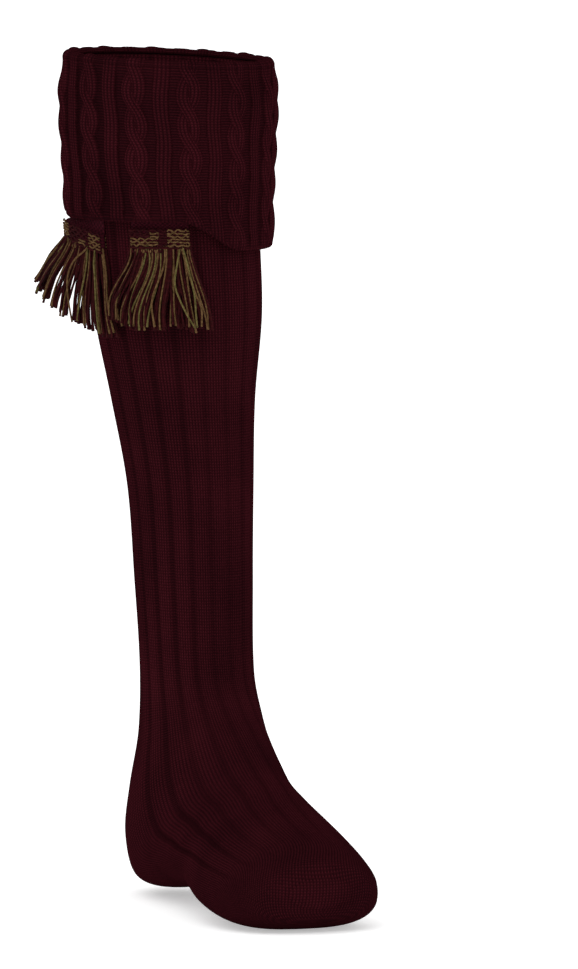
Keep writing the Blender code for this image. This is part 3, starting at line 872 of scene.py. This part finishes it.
def header_strands(tassel):
    """Wavy weft yarns on the header's front face, and on its back face where the tassel stands off the leg: olive in
    clusters and burgundy elsewhere.
    """
    rng = np.random.default_rng(tassel.seed + 100)
    strands = []
    pitch = (HEADER_HEIGHT - 0.0012) / WEFT_ROWS
    for row in range(WEFT_ROWS):
        down_middle = 0.0008 + pitch * (row + 0.4)
        clusters = [c[:2] for c in tassel.wefts if c[2] <= row <= c[3]]
        edges = sorted({-0.5, 0.5, *[end for c in clusters for end in c]})
        for start, end in zip(edges, edges[1:]):
            olive = any(c[0] <= (start + end) / 2 <= c[1] for c in clusters)
            count = max(int((end - start) * 40), 3)
            side = np.linspace(start, end, count) * TAIL_WIDTH
            wave = np.sin(2 * math.pi * side / WARP_YARN_PITCH + row * math.pi)
            down = down_middle + 0.7 * WEFT_WAVE * wave + rng.uniform(-0.0004, 0.0004, count)
            radii = rng.uniform(0.65, 0.95, count)
            for face in (HEADER_WALL + 0.0003 + 0.0003 * wave, -0.0001 + 0.0001 * wave):
                if face[0] < 0.001 and tassel.lift == 0:
                    continue
                colour = COLOURS["olive" if olive else "burgundy"]
                strands.append((on_tassel(tassel, side, down, face), radii, colour))
    side = np.linspace(-0.5, 0.5, 40) * TAIL_WIDTH
    for down, out in ((HEADER_HEIGHT + 0.0002, HEADER_WALL - 0.0003), (HEADER_HEIGHT + 0.0002, 0.0009)):
        strands.append((on_tassel(tassel, side, down, out), np.full(40, 1.1), COLOURS["burgundy"]))
    for index in range(9):
        middle = 0.45 - 0.055 * index
        swing = np.linspace(0, math.pi, 7)
        side = (middle + 0.02 * np.cos(swing)) * TAIL_WIDTH
        down = HEADER_HEIGHT + 0.0012 + 0.0014 * np.sin(swing)
        colour = COLOURS["olive" if index % 2 else "burgundy"]
        strands.append((on_tassel(tassel, side, down, HEADER_WALL - 0.0002 + 0 * side), np.full(7, 0.9), colour))
    return strands


for tassel in TASSELS:
    head_mesh = rolled_grid(HEAD_COLUMNS, HEAD_ROWS, lay_head(tassel))
    bmesh.ops.holes_fill(head_mesh, edges=[edge for edge in head_mesh.edges if edge.is_boundary])
    bmesh.ops.recalc_face_normals(head_mesh, faces=head_mesh.faces[:])
    head = new_mesh_object(tassel.name + "_woven_tail", head_mesh, [garter_weave])
    wefts = make_yarns(tassel.name + "_weft_yarns", header_strands(tassel))
    fringe = make_yarns(tassel.name + "_fringe", fringe_strands(tassel))
    for piece in (head, wefts, fringe):
        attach(piece, "root")
        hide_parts(tassel.node)


# Studio
# A plain pale floor under the sole, an even white surround and two broad soft lights, and the camera at
# the photograph's angle: level with the shin, a little outside the toe's line.
IMAGE_HEIGHT = 969
IMAGE_MIDDLE = (289.0, 484.5)
CAMERA_TURN = math.radians(-20)
CAMERA_RISE = math.radians(4.6)
CAMERA_DISTANCE = 6.0
LOOK_AT = Vector((0, 0, -0.22))
LOOK_AT_PIXEL = (172.0, 480.0)
PIXELS_PER_METRE = 1950.0
SENSOR = 36.0
FLOOR_HALF = 60.0

floor_mesh = bmesh.new()
bmesh.ops.create_grid(floor_mesh, x_segments=1, y_segments=1, size=FLOOR_HALF)
bmesh.ops.translate(floor_mesh, verts=floor_mesh.verts[:], vec=(0, 0, cad_box[0][2]))
floor_finish, floor_tree, floor_shader = new_material("matt_white_studio_floor")
floor_shader.inputs["Base Color"].default_value = linear("#f8f8f8")
floor_shader.inputs["Roughness"].default_value = 0.9
floor_shader.inputs["Specular IOR Level"].default_value = 0.1
floor_shader.inputs["Emission Color"].default_value = linear("#ffffff")
floor_shader.inputs["Emission Strength"].default_value = 0.42
floor = new_mesh_object("studio_floor", floor_mesh, [floor_finish])

world = bpy.data.worlds.new("white_surround")
bpy.context.scene.world = world
world.use_nodes = True
surround = world.node_tree.nodes["Background"]
surround.inputs["Color"].default_value = linear("#ffffff")
surround.inputs["Strength"].default_value = 0.75

for light_name, strength, spread, turn, rise in (
    ("key_light", 0.9, 50, -50, 50),
    ("fill_light", 0.35, 70, 60, 35),
):
    lamp = bpy.data.lights.new(light_name, "SUN")
    lamp.energy = strength
    lamp.angle = math.radians(spread)
    light = bpy.data.objects.new(light_name, lamp)
    a, e = math.radians(turn), math.radians(rise)
    towards = Vector((math.sin(a) * math.cos(e), -math.cos(a) * math.cos(e), math.sin(e)))
    light.rotation_euler = towards.to_track_quat("Z", "Y").to_euler()
    bpy.context.scene.collection.objects.link(light)

towards = Vector(
    (
        math.sin(CAMERA_TURN) * math.cos(CAMERA_RISE),
        -math.cos(CAMERA_TURN) * math.cos(CAMERA_RISE),
        math.sin(CAMERA_RISE),
    )
)
right = Vector((math.cos(CAMERA_TURN), math.sin(CAMERA_TURN), 0))
up = towards.cross(right)
eye = LOOK_AT + towards * CAMERA_DISTANCE
aim = LOOK_AT + right * ((IMAGE_MIDDLE[0] - LOOK_AT_PIXEL[0]) / PIXELS_PER_METRE)
aim -= up * ((IMAGE_MIDDLE[1] - LOOK_AT_PIXEL[1]) / PIXELS_PER_METRE)
lens = bpy.data.cameras.new("photo_camera")
lens.sensor_width = SENSOR
lens.lens = PIXELS_PER_METRE * CAMERA_DISTANCE * SENSOR / IMAGE_HEIGHT
lens.clip_end = 500
camera = bpy.data.objects.new("photo_camera", lens)
camera.location = eye
camera.rotation_euler = (eye - aim).to_track_quat("Z", "Y").to_euler()
bpy.context.scene.collection.objects.link(camera)
bpy.context.scene.camera = camera
bpy.context.scene.view_settings.view_transform = "Standard"
